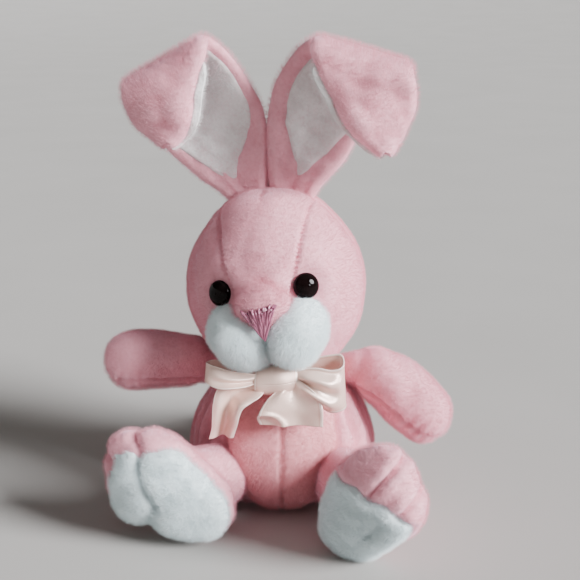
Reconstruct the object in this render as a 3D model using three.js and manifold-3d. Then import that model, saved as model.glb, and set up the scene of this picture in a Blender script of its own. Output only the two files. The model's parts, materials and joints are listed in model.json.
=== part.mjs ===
// Seated stuffed bunny rabbit with a ribbon bow.
// Millimetres, +Z up, front of the toy towards -Y, origin at the centre of the flat seat.
// Names ending in _l are on the toy's own left (+X), names ending in _r on its own right (-X).
import * as THREE from 'three';
import { mergeVertices } from 'three/addons/utils/BufferGeometryUtils.js';
import Module from 'manifold-3d';

const wasm = await Module();
wasm.setup();

// ---------------------------------------------------------------- driving dimensions
const GAP = 0.3; // clearance kept between neighbouring pieces
const SKIN = 1.6; // thickness of the plush cloth with its pile
const FINE = 20; // segments round a full circle
const LIMB = 16; // segments round an arm or a leg
const FAR = 150; // further out than any piece reaches
const TALL = 300; // higher than any piece reaches

const HEAD_AT = [-2.5, -2, 100.5];
const HEAD_RADII = [41.5, 41.5, 43.5];
const HEAD_TURN = -9; // degrees, the face looks a little towards its own right
const HEAD_ROLL = -4.5; // degrees, the crown leans to its own right

const BODY_DEPTH = 0.94; // front-to-back size of the body as a share of its width
const BODY_PROFILE = [
  [0, 0], [26, 0], [35, 3.5], [41, 10], [43.5, 19], [42.5, 29],
  [38.5, 40], [32, 50], [24, 57.5], [12, 62.5], [0, 63.5],
];
const BELLY_OUTLINE = [
  [0, -2], [10, 1], [18, 6], [24, 15], [26.5, 28], [25.5, 42], [20, 66],
];
const BELLY_BACK = -12; // the belly panel ends this far behind the front
const SEAT_RADIUS = 23;
const PELLET_LEVEL = 15;
const TAIL_AT = [0, 46, 20];
const TAIL_RADII = [12, 11, 12];

const GUSSET_OUTLINE = [[0, -2], [13, -2], [14, 5], [18.5, 22], [17, 60]]; // its right half
const GUSSET_BACK = 2; // the side panels and the gusset end here, the back panels begin

const EYE_AT = [19, 9.5]; // sideways and up from the middle of the head
const EYE_RADIUS = 5.6;
const EYE_HEIGHT = 3.2;
const EYE_PROFILE = [[1, 0.28], [0.93, 0.55], [0.72, 0.82], [0.4, 0.96], [0, 1]];
const STEM_RADIUS = 1.6;
const STEM_LENGTH = 9;
const WASHER_RADIUS = 5.5;
const WASHER_DEPTHS = [3, 4.4];

const CHEEK_AT = [13.6, -33.5, -11.5];
const CHEEK_RADII = [14.6, 15, 16.5];
const BRIDGE_AT = [0, -36, 3];
const BRIDGE_RADII = [10.5, 13.6, 12];
const NOSE_OUTLINE = [[-6.4, 4.6], [-3.2, 5.6], [3.2, 5.6], [6.4, 4.6], [1.2, -10], [-1.2, -10]];
const NOSE_FRONT = -51.6;
const NOSE_BACK = -42;

// One ear as rows from its root to its folded-over tip: inner edge x z, outer edge x z, y.
const EAR_ROWS = [
  [3.5, 46, 20, 41, 4], [2, 56, 30, 47, 4], [2, 66, 40, 56, 5], [2.5, 76, 50, 66, 5],
  [4.5, 86, 58, 77, 4.5], [9, 97, 63.5, 86, 4], [15, 107, 66.5, 91, 3],
  [19.5, 112, 66.5, 95, -1.5], [22, 108.5, 66, 91.5, -6], [25, 100, 65, 85.5, -8],
  [29, 90, 62.5, 78, -9], [32.5, 80, 58.5, 70.5, -9.5], [38, 72.5, 53, 66, -9.5],
  [43, 68.5, 48.5, 66.2, -9.5],
];
const EAR_CUP = 3.5;
const EAR_BACK = 2.2;
const EAR_LINER = 1.4;
const EAR_STEPS = 6;
const LINER_GAP = 0.8; // the lining lies this far off the back layer, inside the fold
const LINER_MARGIN = 0.09;

const SHOULDERS = { r: [-36.5, -2, 57], l: [37, -2, 57] };
const ARM_ENDS = { r: [-79, -7, 69], l: [76, -13, 33] };
const ARM_ROOT = 9;
const ARM_RADIUS = 14.2;
const ARM_SWELL = 27; // distance from the shoulder over which the arm fills out
const ARM_DOME = 12.2; // length of the rounded end
const FILL_MOUTH = 3.5; // radius of the opening the filling goes in by

const HIPS = { r: [-34, -38.5, 17.5], l: [33, -41, 17.5] };
const SOLES_AT = { r: [-49, -65, 25], l: [37, -79, 26.5] };
const SOLE_FACING = { r: [-0.05, -0.95, 0.3], l: [-0.45, -0.85, -0.25] };
const TOES_POINT = { r: [-0.743, 0.195, 0.64], l: [0.3, -0.41, 0.86] };
const LEG_RADIUS = 13.5;
const SOLE_HALF = [30, 21];
const SOLE_CROWN = 3.4;
const SOLE_RINGS = [[1.3, 1.01], [2.6, 0.94], [3.4, 0.8], [4.6, 0.45]]; // height and share
const LEG_BEND = 0.55; // how far behind the sole the leg bends, as a share of its length
const TOE_THREADS = [-0.3, 0.34]; // places of the two toe stitches across the foot

const COLLAR = { at: [-1.5, -1.5], radius: 24.2, thick: 1.4, low: 60.8, high: 66 };
const KNOT_AT = [-2.5, -36.5, 65.5];
const KNOT_HALF = [8, 5.2, 6];
const RIBBON = 0.9; // thickness of the ribbon
const LOOP_SPINES = { // root, middle and end of each loop, from the knot
  r: [[-8.3, 0, 0], [-19, 1.5, 0.5], [-29, 6, 0.5]],
  l: [[8.3, 0, 0], [19, 1, -1.5], [29.5, 6, -3]],
};
const LOOP_HEIGHT = { r: 4.6, l: 8 }; // half the height of each loop
const LOOP_DEPTH = 3.6; // half the depth of a loop where it is fullest
const LOOP_STATIONS = [0, 0.15, 0.35, 0.6, 0.8, 0.95, 1];
const TAIL_CORNERS = { // both edges of each tail at its top, middle and bottom, from the knot
  r: [
    [[-7, -4.5, -4], [-3, -4.5, -6.2]],
    [[-21, -7.5, -17], [-8, -8, -14]],
    [[-27, -10, -25], [-18, -11, -28]],
  ],
  l: [
    [[-4, -4.5, -6.4], [8, -4.5, -3]],
    [[-8, -8.5, -14], [17, -7.5, -8]],
    [[-8.5, -11, -22], [19.5, -10.5, -20]],
  ],
};

// ---------------------------------------------------------------- small helpers
const group = new THREE.Group();
const vec = (a) => new THREE.Vector3(...a);
const rad = THREE.MathUtils.degToRad;
const side = (s) => (s === 'l' ? 1 : -1);
const smooth = (t) => t * t * (3 - 2 * t);

function solid(geometry) {
  const bare = new THREE.BufferGeometry();
  bare.setAttribute('position', geometry.getAttribute('position'));
  bare.setIndex(geometry.getIndex());
  const welded = mergeVertices(bare, 1e-4);
  const all = welded.getIndex().array;
  const kept = [];
  for (let i = 0; i < all.length; i += 3) {
    const [a, b, c] = [all[i], all[i + 1], all[i + 2]];
    if (a !== b && b !== c && c !== a) kept.push(a, b, c);
  }
  const mesh = new wasm.Mesh({
    numProp: 3,
    vertProperties: Float32Array.from(welded.getAttribute('position').array),
    triVerts: Uint32Array.from(kept),
  });
  const made = new wasm.Manifold(mesh);
  if (made.volume() > 0) return made;
  throw new Error('inside out');
}

function material(color, roughness, metalness = 0) {
  return new THREE.MeshStandardMaterial({ color, roughness, metalness });
}

// Adds one piece; crumbs left beside it by a cut are dropped.
function add(name, made, look) {
  const raw = largest(made).getMesh();
  const geometry = new THREE.BufferGeometry();
  geometry.setAttribute('position', new THREE.BufferAttribute(raw.vertProperties, 3));
  geometry.setIndex(new THREE.BufferAttribute(raw.triVerts, 1));
  geometry.computeVertexNormals();
  const mesh = new THREE.Mesh(geometry, look.clone());
  mesh.name = name;
  group.add(mesh);
}

function ellipsoid(radii, at = [0, 0, 0], grow = 0, parts = FINE) {
  const ball = new THREE.SphereGeometry(1, parts, parts / 2);
  ball.rotateX(Math.PI / 2);
  ball.scale(radii[0] + grow, radii[1] + grow, radii[2] + grow);
  ball.translate(...at);
  return solid(ball);
}

function box(low, high) {
  const size = high.map((v, i) => v - low[i]);
  const block = new THREE.BoxGeometry(...size);
  block.translate(...low.map((v, i) => v + size[i] / 2));
  return solid(block);
}

// A solid through rings of equal length, with a point or a flat fan at each end.
function loft(rings) {
  const count = rings[0].length;
  const points = rings.flat();
  const faces = [];
  for (let r = 0; r + 1 < rings.length; r += 1) {
    for (let i = 0; i < count; i += 1) {
      const j = (i + 1) % count;
      const [a, b, c, d] = [r * count + i, r * count + j, (r + 1) * count + i, (r + 1) * count + j];
      faces.push(a, b, d, a, d, c);
    }
  }
  const last = (rings.length - 1) * count;
  const ends = [centre(rings[0]), centre(rings[rings.length - 1])];
  points.push(...ends);
  for (let i = 0; i < count; i += 1) {
    const j = (i + 1) % count;
    faces.push(points.length - 2, j, i, points.length - 1, last + i, last + j);
  }
  return fromFaces(points, faces);
}

function centre(ring) {
  const sum = ring.reduce((a, p) => a.add(p), new THREE.Vector3());
  return sum.multiplyScalar(1 / ring.length);
}

function fromFaces(points, faces) {
  const geometry = new THREE.BufferGeometry().setFromPoints(points);
  geometry.setIndex(faces);
  const probe = volume(points, faces);
  if (probe < 0) geometry.setIndex(flipped(faces));
  return solid(geometry);
}

function volume(points, faces) {
  let sum = 0;
  for (let i = 0; i < faces.length; i += 3) {
    const [a, b, c] = [points[faces[i]], points[faces[i + 1]], points[faces[i + 2]]];
    sum += a.dot(new THREE.Vector3().crossVectors(b, c)) / 6;
  }
  return sum;
}

function flipped(faces) {
  const turned = [];
  for (let i = 0; i < faces.length; i += 3) turned.push(faces[i], faces[i + 2], faces[i + 1]);
  return turned;
}

// A ring of points round c, with half-axes u and v.
function ring(c, u, v, count = FINE) {
  const made = [];
  for (let i = 0; i < count; i += 1) {
    const a = (2 * Math.PI * i) / count;
    made.push(c.clone().addScaledVector(u, Math.cos(a)).addScaledVector(v, Math.sin(a)));
  }
  return made;
}

// A flat-bodied solid of one thickness that follows at(s, t), s and t from 0 to 1.
function slab(at, from, to, ns, nt) {
  const sheets = [from, to].map((offset) => {
    const rows = [];
    for (let i = 0; i <= ns; i += 1) {
      for (let j = 0; j <= nt; j += 1) {
        const [s, t] = [i / ns, j / nt];
        rows.push(at(s, t).addScaledVector(normal(at, s, t), offset));
      }
    }
    return rows;
  });
  const points = sheets.flat();
  const per = (ns + 1) * (nt + 1);
  const id = (i, j) => i * (nt + 1) + j;
  const faces = [];
  for (let i = 0; i < ns; i += 1) {
    for (let j = 0; j < nt; j += 1) {
      const [a, b, c, d] = [id(i, j), id(i, j + 1), id(i + 1, j), id(i + 1, j + 1)];
      faces.push(a, c, b, b, c, d);
      faces.push(per + a, per + b, per + c, per + b, per + d, per + c);
    }
  }
  const rim = [];
  for (let j = 0; j < nt; j += 1) rim.push(id(0, j));
  for (let i = 0; i < ns; i += 1) rim.push(id(i, nt));
  for (let j = nt; j > 0; j -= 1) rim.push(id(ns, j));
  for (let i = ns; i > 0; i -= 1) rim.push(id(i, 0));
  for (let k = 0; k < rim.length; k += 1) {
    const [a, b] = [rim[k], rim[(k + 1) % rim.length]];
    faces.push(a, b, per + a, b, per + b, per + a);
  }
  return fromFaces(points, faces);
}

function normal(at, s, t) {
  const h = 0.01;
  const ds = at(Math.min(1, s + h), t).sub(at(Math.max(0, s - h), t));
  const dt = at(s, Math.min(1, t + h)).sub(at(s, Math.max(0, t - h)));
  return ds.cross(dt).normalize();
}

function outlineBlock(outline, yLow, yHigh) {
  const shape = new THREE.Shape(outline.map((point) => new THREE.Vector2(...point)));
  const block = new THREE.ExtrudeGeometry(shape, { depth: yHigh - yLow, bevelEnabled: false });
  block.rotateX(Math.PI / 2);
  block.translate(0, yHigh, 0);
  return solid(block);
}

// ---------------------------------------------------------------- looks
const pink = material(0xe3b4bc, 0.95);
const salmon = material(0xdba9a8, 0.95);
const cream = material(0xeef0ec, 0.95);
const filling = material(0xf4f3ee, 1);
const satin = material(0xefcdbd, 0.35);
const thread = material(0xa8707f, 0.4);
const gloss = material(0x17100f, 0.08);
const nylon = material(0xf2f2ef, 0.5);
const beanCloth = material(0xe8e4da, 0.9);

// ---------------------------------------------------------------- head frame
const headTurn = new THREE.Matrix4().makeRotationFromEuler(
  new THREE.Euler(0, rad(HEAD_ROLL), rad(HEAD_TURN), 'ZYX'),
);
const headPlace = new THREE.Matrix4().makeTranslation(...HEAD_AT).multiply(headTurn);
const inHead = (made) => made.transform(headPlace.elements);

const headOuter = (grow = 0) => ellipsoid(HEAD_RADII, [0, 0, 0], grow);
const headWorld = (grow) => inHead(headOuter(grow));

// ---------------------------------------------------------------- limbs
// Stations of an arm: a round root about the shoulder, a fuller middle and a blunt end.
function armSolid(s, inset) {
  const [from, to] = [vec(SHOULDERS[s]), vec(ARM_ENDS[s])];
  const along = to.clone().sub(from);
  const length = along.length();
  along.normalize();
  const across = new THREE.Vector3(0, 1, 0).cross(along).normalize();
  const third = along.clone().cross(across);
  const rings = [];
  const put = (d, r) => {
    const c = from.clone().addScaledVector(along, d);
    rings.push(ring(c, across.clone().multiplyScalar(r), third.clone().multiplyScalar(r), LIMB));
  };
  for (const a of [-70, -35, 0]) {
    put((ARM_ROOT - inset) * Math.sin(rad(a)), (ARM_ROOT - inset) * Math.cos(rad(a)));
  }
  for (const t of [0.33, 0.66, 1]) {
    put(t * ARM_SWELL, ARM_ROOT + (ARM_RADIUS - ARM_ROOT) * smooth(t) - inset);
  }
  for (const a of [0, 35, 68]) {
    const reach = length - ARM_DOME + (ARM_DOME - inset) * Math.sin(rad(a));
    put(reach, (ARM_RADIUS - inset) * Math.cos(rad(a)));
  }
  return loft(rings);
}

function addArm(s) {
  const whole = armSolid(s, 0);
  const hollow = armSolid(s, SKIN);
  const inward = vec(SHOULDERS[s]).sub(vec(ARM_ENDS[s])).normalize().multiplyScalar(ARM_ROOT + 1);
  const mouthRings = [0, 1].map((k) => {
    const c = vec(SHOULDERS[s]).addScaledVector(inward, k);
    const u = new THREE.Vector3(0, FILL_MOUTH, 0);
    return ring(c, u, u.clone().cross(inward).setLength(FILL_MOUTH), 12);
  });
  const mouth = loft(mouthRings);
  add(`arm_skin_${s}`, whole.subtract(hollow).subtract(mouth), pink);
  add(`arm_fill_${s}`, armSolid(s, SKIN + GAP), filling);
}

// A leg from the round hip end to the oval rim of the sole.
function legFrame(s) {
  const n = vec(SOLE_FACING[s]).normalize();
  const toes = vec(TOES_POINT[s]);
  toes.addScaledVector(n, -toes.dot(n)).normalize();
  const wide = n.clone().cross(toes);
  return { hip: vec(HIPS[s]), end: vec(SOLES_AT[s]), n, toes, wide };
}

function legSolid(s, inset, stop) {
  const { hip, end, n, toes, wide } = legFrame(s);
  const along = end.clone().sub(hip).normalize();
  const length = end.distanceTo(hip);
  const v0 = along.clone().cross(toes).normalize();
  const u0 = v0.clone().cross(along);
  const rings = [];
  const r0 = LEG_RADIUS - inset;
  for (const a of [-75, -38]) {
    const c = hip.clone().addScaledVector(along, r0 * Math.sin(rad(a)));
    const r = r0 * Math.cos(rad(a));
    rings.push(ring(c, u0.clone().multiplyScalar(r), v0.clone().multiplyScalar(r), LIMB));
  }
  const bend = end.clone().addScaledVector(n, -LEG_BEND * length);
  for (const t of [0, 0.25, 0.5, 0.72, 0.88, 1]) {
    const k = (1 - t) * (1 - t);
    const c = hip.clone().multiplyScalar(k);
    c.addScaledVector(bend, 2 * t * (1 - t)).addScaledVector(end, t * t);
    c.addScaledVector(n, t === 1 ? stop : 0);
    const w = smooth(Math.min(1, t * 1.15));
    const dir = (p, q) => p.clone().lerp(q, w).normalize();
    const full = (h) => LEG_RADIUS + (h - LEG_RADIUS) * Math.sin((w * Math.PI) / 2) - inset;
    const u = dir(u0, toes).multiplyScalar(full(SOLE_HALF[0]));
    const v = dir(v0, wide).multiplyScalar(full(SOLE_HALF[1]));
    rings.push(ring(c, u, v, LIMB));
  }
  return loft(rings);
}

function soleSolid(s, low, grow) {
  const { end, n, toes, wide } = legFrame(s);
  return loft([[low, 1], ...SOLE_RINGS].map(([h, k]) => {
    const c = end.clone().addScaledVector(n, h);
    const u = toes.clone().multiplyScalar(SOLE_HALF[0] * k + grow);
    return ring(c, u, wide.clone().multiplyScalar(SOLE_HALF[1] * k + grow), LIMB);
  }));
}

const ground = box([-FAR, -FAR, 0], [FAR, FAR, TALL]);

function toeThread(s, place) {
  const { end, n, toes, wide } = legFrame(s);
  const rings = [];
  for (const t of [0, 0.25, 0.5, 0.75, 1]) {
    const c = end.clone();
    c.addScaledVector(toes, SOLE_HALF[0] * (0.42 + 0.45 * t));
    c.addScaledVector(wide, SOLE_HALF[1] * place * (1.15 - 0.35 * t));
    c.addScaledVector(n, SOLE_CROWN + 2.1 - 1.1 * t * t);
    rings.push(ring(c, wide.clone().multiplyScalar(0.5), n.clone().multiplyScalar(0.5), 8));
  }
  return loft(rings);
}

function addLeg(s) {
  const skin = legSolid(s, 0, 0).subtract(legSolid(s, SKIN, 1));
  add(`leg_skin_${s}`, skin.intersect(ground), pink);
  add(`leg_fill_${s}`, legSolid(s, SKIN + 3 * GAP, -GAP).intersect(ground), filling);
  const sole = soleSolid(s, GAP, 0).intersect(ground);
  TOE_THREADS.forEach((place, i) => {
    const made = toeThread(s, place);
    add(`toe_thread_${s}_${i + 1}`, made.subtract(soleSolid(s, GAP, 0.1)), thread);
  });
  add(`sole_${s}`, sole, cream);
}

const limbRoots = (grow) => ['l', 'r'].flatMap((s) => [
  ellipsoid([ARM_ROOT, ARM_ROOT, ARM_ROOT], SHOULDERS[s], grow, 20),
  ellipsoid([LEG_RADIUS, LEG_RADIUS, LEG_RADIUS], HIPS[s], grow, 24),
]);

// ---------------------------------------------------------------- body
function bodySolid(inset) {
  const points = BODY_PROFILE.map(([r, z], i) => {
    const [before, after] = [BODY_PROFILE[Math.max(0, i - 1)], BODY_PROFILE[i + 1] || [0, z]];
    const slope = new THREE.Vector2(after[0] - before[0], after[1] - before[1]).normalize();
    const out = new THREE.Vector2(slope.y, -slope.x);
    const x = r === 0 ? 0 : r - inset * Math.max(0, out.x) - (z === 0 ? inset : 0);
    const up = r === 0 || z === 0 ? Math.sign(z - 1) : out.y;
    return new THREE.Vector2(Math.max(0, x), z - inset * up);
  });
  const lathe = new THREE.LatheGeometry(points, FINE);
  lathe.rotateX(Math.PI / 2);
  lathe.scale(1, BODY_DEPTH, 1);
  return solid(lathe);
}

// The whole of a symmetric outline given by its right half, let out by shift.
function bothHalves(outline, shift) {
  const right = outline.map(([x, z], i) => [x + (x > 0 ? shift : 0), i < 2 ? z - shift : z]);
  const left = right.slice(1).reverse().map(([x, z]) => [-x, z]);
  return [...right, ...left];
}

const half = (s, gap) => (s === 'l'
  ? box([gap, -FAR, -TALL], [FAR, FAR, TALL])
  : box([-FAR, -FAR, -TALL], [-gap, FAR, TALL]));

function disc(radius, low, high) {
  const made = new THREE.CylinderGeometry(radius, radius, high - low, FINE);
  made.rotateX(Math.PI / 2);
  made.scale(1, BODY_DEPTH, 1);
  made.translate(0, 0, (low + high) / 2);
  return solid(made);
}

function addBody() {
  const cut = [headWorld(GAP + 0.3), ...limbRoots(GAP)];
  const carve = (made) => cut.reduce((m, c) => m.subtract(c), made);
  const shell = carve(bodySolid(0).subtract(bodySolid(SKIN)));
  const belly = outlineBlock(bothHalves(BELLY_OUTLINE, 0), -FAR, BELLY_BACK);
  const around = outlineBlock(bothHalves(BELLY_OUTLINE, GAP), -FAR, BELLY_BACK + GAP);
  for (const s of ['l', 'r']) {
    const mine = half(s, GAP / 2);
    const seatCut = disc(SEAT_RADIUS + GAP, -5, 5);
    add(`body_front_${s}`, shell.intersect(belly).intersect(mine).subtract(seatCut), salmon);
    add(`body_back_${s}`, shell.subtract(around).intersect(mine).subtract(seatCut), pink);
  }
  add('body_seat', shell.intersect(disc(SEAT_RADIUS, -5, 5)), pink);
  const inside = bodySolid(SKIN + GAP);
  const rooted = (made) => limbRoots(GAP).reduce((m, c) => m.subtract(c), made);
  const upper = box([-FAR, -FAR, PELLET_LEVEL + GAP], [FAR, FAR, TALL]);
  const lower = box([-FAR, -FAR, -TALL], [FAR, FAR, PELLET_LEVEL]);
  add('body_fill', rooted(inside.intersect(upper)).subtract(headWorld(GAP + 0.3)), filling);
  add('pellet_bag', rooted(inside.intersect(lower)), beanCloth);
  const tail = ellipsoid(TAIL_RADII, TAIL_AT, 0, 20);
  add('tail', tail.subtract(bodySolid(-GAP)), cream);
}

// ---------------------------------------------------------------- head
function headPoint([x, z]) {
  const [a, b, c] = HEAD_RADII;
  return [x, -b * Math.sqrt(1 - (x / a) ** 2 - (z / c) ** 2), z];
}

function facing([x, y, z]) {
  const n = new THREE.Vector3(...[x, y, z].map((v, i) => v / HEAD_RADII[i] ** 2)).normalize();
  return new THREE.Quaternion().setFromUnitVectors(new THREE.Vector3(0, 0, 1), n);
}

// A turned piece standing on the head's surface at the eye, its axis along the surface normal.
function turnedAtEye(s, profile, parts) {
  const at = headPoint([side(s) * EYE_AT[0], EYE_AT[1]]);
  const lathe = new THREE.LatheGeometry(profile.map((p) => new THREE.Vector2(...p)), parts);
  lathe.rotateX(Math.PI / 2);
  lathe.applyQuaternion(facing(at));
  lathe.translate(...at);
  return solid(lathe);
}

const pin = (radius, low, high) => [[0, low], [radius, low], [radius, high], [0, high]];

function eyeSolid(s) {
  const dome = EYE_PROFILE.map(([r, h]) => [r * EYE_RADIUS, h * EYE_HEIGHT]);
  const stem = [[0, -STEM_LENGTH], [STEM_RADIUS, -STEM_LENGTH], [STEM_RADIUS, GAP]];
  const foot = [...stem, [0.9 * EYE_RADIUS, GAP]];
  return turnedAtEye(s, [...foot, ...dome], 20);
}

function washerSolid(s) {
  const [low, high] = [-WASHER_DEPTHS[1], -WASHER_DEPTHS[0]];
  const bore = STEM_RADIUS + GAP / 2;
  const plate = turnedAtEye(s, pin(WASHER_RADIUS, low, high), 20);
  return plate.subtract(turnedAtEye(s, pin(bore, low - 1, high + 1), 20));
}

function addHead() {
  const eyeHoles = ['l', 'r'].map((s) => turnedAtEye(s, pin(STEM_RADIUS + GAP, -12, 4), 20));
  const pockets = ['l', 'r'].map((s) => {
    const plate = turnedAtEye(s, pin(WASHER_RADIUS + GAP, -WASHER_DEPTHS[1] - GAP, 4), 20);
    return plate.add(turnedAtEye(s, pin(STEM_RADIUS + GAP, -STEM_LENGTH - GAP, 4), 20));
  });
  const shell = headOuter().subtract(headOuter(-SKIN));
  const pierced = eyeHoles.reduce((m, c) => m.subtract(c), shell);
  const gusset = (shift) => outlineBlock(
    bothHalves(GUSSET_OUTLINE, shift), -FAR, GUSSET_BACK + shift,
  );
  const back = (y) => box([-FAR, y, -FAR], [FAR, FAR, FAR]);
  add('head_gusset', inHead(pierced.intersect(gusset(0))), pink);
  for (const s of ['l', 'r']) {
    const mine = half(s, GAP / 2);
    const front = pierced.subtract(back(GUSSET_BACK)).subtract(gusset(GAP)).intersect(mine);
    add(`head_side_${s}`, inHead(front), pink);
    add(`head_back_${s}`, inHead(shell.intersect(back(GUSSET_BACK + GAP)).intersect(mine)), pink);
    add(`eye_${s}`, inHead(eyeSolid(s)), gloss);
    add(`eye_washer_${s}`, inHead(washerSolid(s)), nylon);
  }
  const fill = pockets.reduce((m, c) => m.subtract(c), headOuter(-SKIN - GAP));
  add('head_fill', inHead(fill), filling);
}

function cheek(s, grow) {
  return ellipsoid(CHEEK_RADII, [side(s) * CHEEK_AT[0], CHEEK_AT[1], CHEEK_AT[2]], grow, 24);
}

function addMuzzle() {
  const head = headOuter(GAP);
  for (const s of ['l', 'r']) {
    const mine = half(s, GAP / 2);
    add(`cheek_${s}`, inHead(cheek(s, 0).intersect(mine).subtract(head)), cream);
  }
  const cheeks = cheek('l', GAP).add(cheek('r', GAP));
  const bridge = ellipsoid(BRIDGE_RADII, BRIDGE_AT, 0, 24);
  add('muzzle_bridge', inHead(bridge.subtract(head).subtract(cheeks)), pink);
  const nose = outlineBlock(NOSE_OUTLINE, NOSE_FRONT, NOSE_BACK);
  const room = ellipsoid(BRIDGE_RADII, BRIDGE_AT, GAP, 24).add(cheeks).add(head);
  add('nose_stitching', inHead(largest(nose.subtract(room))), thread);
}

function largest(made) {
  const parts = made.decompose();
  return parts.reduce((a, b) => (a.volume() > b.volume() ? a : b));
}

// ---------------------------------------------------------------- ears
function earAt(s, margin) {
  return (a, b) => {
    const k = a * (EAR_ROWS.length - 1);
    const i = Math.min(EAR_ROWS.length - 2, Math.floor(k));
    const row = EAR_ROWS[i].map((v, j) => v + (EAR_ROWS[i + 1][j] - v) * (k - i));
    const [xi, zi, xo, zo, y] = row;
    const t = margin + b * (1 - 2 * margin);
    const bow = 1 - (2 * t - 1) ** 2;
    const cup = (a < 0.5 ? 1 : -0.6) * EAR_CUP * bow * Math.min(1, a * 5);
    return new THREE.Vector3(side(s) * (xi + (xo - xi) * t), y + cup, zi + (zo - zi) * t);
  };
}

function addEar(s) {
  const flip = side(s);
  const layer = (from, to, margin) => {
    const steps = EAR_ROWS.length - 1;
    const at = (a, b) => earAt(s, margin)(margin ? 0.03 + a * 0.94 : a, b);
    return inHead(slab(at, flip * from, flip * to, steps, EAR_STEPS));
  };
  add(`ear_back_${s}`, layer(0, EAR_BACK, 0), pink);
  add(`ear_liner_${s}`, layer(-LINER_GAP - EAR_LINER, -LINER_GAP, LINER_MARGIN), cream);
}

// ---------------------------------------------------------------- ribbon bow
function hoop(r, low, high) {
  const made = new THREE.CylinderGeometry(r, r, high - low, 28);
  made.rotateX(Math.PI / 2);
  made.translate(...COLLAR.at, (low + high) / 2);
  return solid(made);
}

function addCollar() {
  const { radius, thick, low, high } = COLLAR;
  const band = hoop(radius + thick, low, high).subtract(hoop(radius, low - 1, high + 1));
  add('ribbon_collar', band.subtract(headWorld(GAP + 0.3)).subtract(bodySolid(-GAP)), satin);
}

const fromKnot = (offset) => vec(KNOT_AT).add(vec(offset));

// A loop of ribbon, flattened towards its end and hollow along its length.
function loopSolid(s) {
  const [root, middle, end] = LOOP_SPINES[s].map(fromKnot);
  const spine = (a) => (a < 0.5 ? root.clone().lerp(middle, a * 2) : middle.clone().lerp(end, a * 2 - 1));
  const rings = LOOP_STATIONS.map((a) => {
    const tall = LOOP_HEIGHT[s] * (0.45 + 0.55 * Math.min(1, a * 2.2));
    const deep = Math.max(RIBBON, LOOP_DEPTH * Math.sin(Math.PI * (0.12 + 0.8 * a)));
    return ring(spine(a), new THREE.Vector3(0, deep, 0), new THREE.Vector3(0, 0, tall), 14);
  });
  const inner = new THREE.Vector3(1, 1 - 1.3 * (RIBBON / LOOP_DEPTH), 1.4);
  const core = rings.slice(1, -1).map((points) => {
    const c = centre(points);
    return points.map((p) => p.clone().sub(c).multiply(inner).add(c));
  });
  return loft(rings).subtract(loft(core));
}

// A flat tail of ribbon through its corners; the one on the right hangs behind the other.
function tailSolid(s) {
  const rows = TAIL_CORNERS[s].map((row) => row.map(fromKnot));
  const at = (a, b) => {
    const i = a < 0.5 ? 0 : 1;
    const edge = (j) => rows[i][j].clone().lerp(rows[i + 1][j], a * 2 - i);
    return edge(0).lerp(edge(1), b);
  };
  const back = s === 'l' ? 0 : GAP + RIBBON;
  return slab(at, back, back + RIBBON, 6, 4);
}

function addBow() {
  const knot = (grow) => ellipsoid(KNOT_HALF, KNOT_AT, grow, 20);
  const taken = knot(GAP).add(bodySolid(-GAP));
  add('bow_knot', knot(0), satin);
  for (const s of ['l', 'r']) {
    add(`bow_loop_${s}`, loopSolid(s), satin);
    add(`bow_tail_${s}`, tailSolid(s).subtract(taken), satin);
  }
}

addBody();
addHead();
addMuzzle();
for (const s of ['l', 'r']) {
  addEar(s);
  addArm(s);
  addLeg(s);
}
addCollar();
addBow();

export default group;
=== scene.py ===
import json
import math

import bmesh
import bpy
import numpy as np
from mathutils import Matrix, Vector
from mathutils.kdtree import KDTree


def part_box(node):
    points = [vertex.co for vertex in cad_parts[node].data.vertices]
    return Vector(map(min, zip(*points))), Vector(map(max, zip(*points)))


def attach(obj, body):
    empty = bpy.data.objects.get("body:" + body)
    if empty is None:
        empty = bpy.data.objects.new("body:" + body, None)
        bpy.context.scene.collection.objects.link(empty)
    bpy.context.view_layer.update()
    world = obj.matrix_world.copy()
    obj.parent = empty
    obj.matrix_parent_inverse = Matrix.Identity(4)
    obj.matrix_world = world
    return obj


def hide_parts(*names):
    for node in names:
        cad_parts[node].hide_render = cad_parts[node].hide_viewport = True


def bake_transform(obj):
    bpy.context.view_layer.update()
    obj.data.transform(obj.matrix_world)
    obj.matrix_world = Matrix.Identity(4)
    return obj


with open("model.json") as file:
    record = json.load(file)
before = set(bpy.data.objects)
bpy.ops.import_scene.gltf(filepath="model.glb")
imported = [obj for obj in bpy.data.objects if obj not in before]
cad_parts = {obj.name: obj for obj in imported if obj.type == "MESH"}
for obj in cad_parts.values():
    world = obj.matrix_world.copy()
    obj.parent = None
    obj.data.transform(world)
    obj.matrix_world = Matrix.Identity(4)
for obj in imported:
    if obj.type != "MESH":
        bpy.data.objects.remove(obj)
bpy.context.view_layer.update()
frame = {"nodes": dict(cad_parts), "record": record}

MM = 0.001
JOINTS = {j["name"]: j for j in frame["record"]["behaviour"]["joints"]}
SIDES = {"l": ("left", 1.0), "r": ("right", -1.0)}

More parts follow.
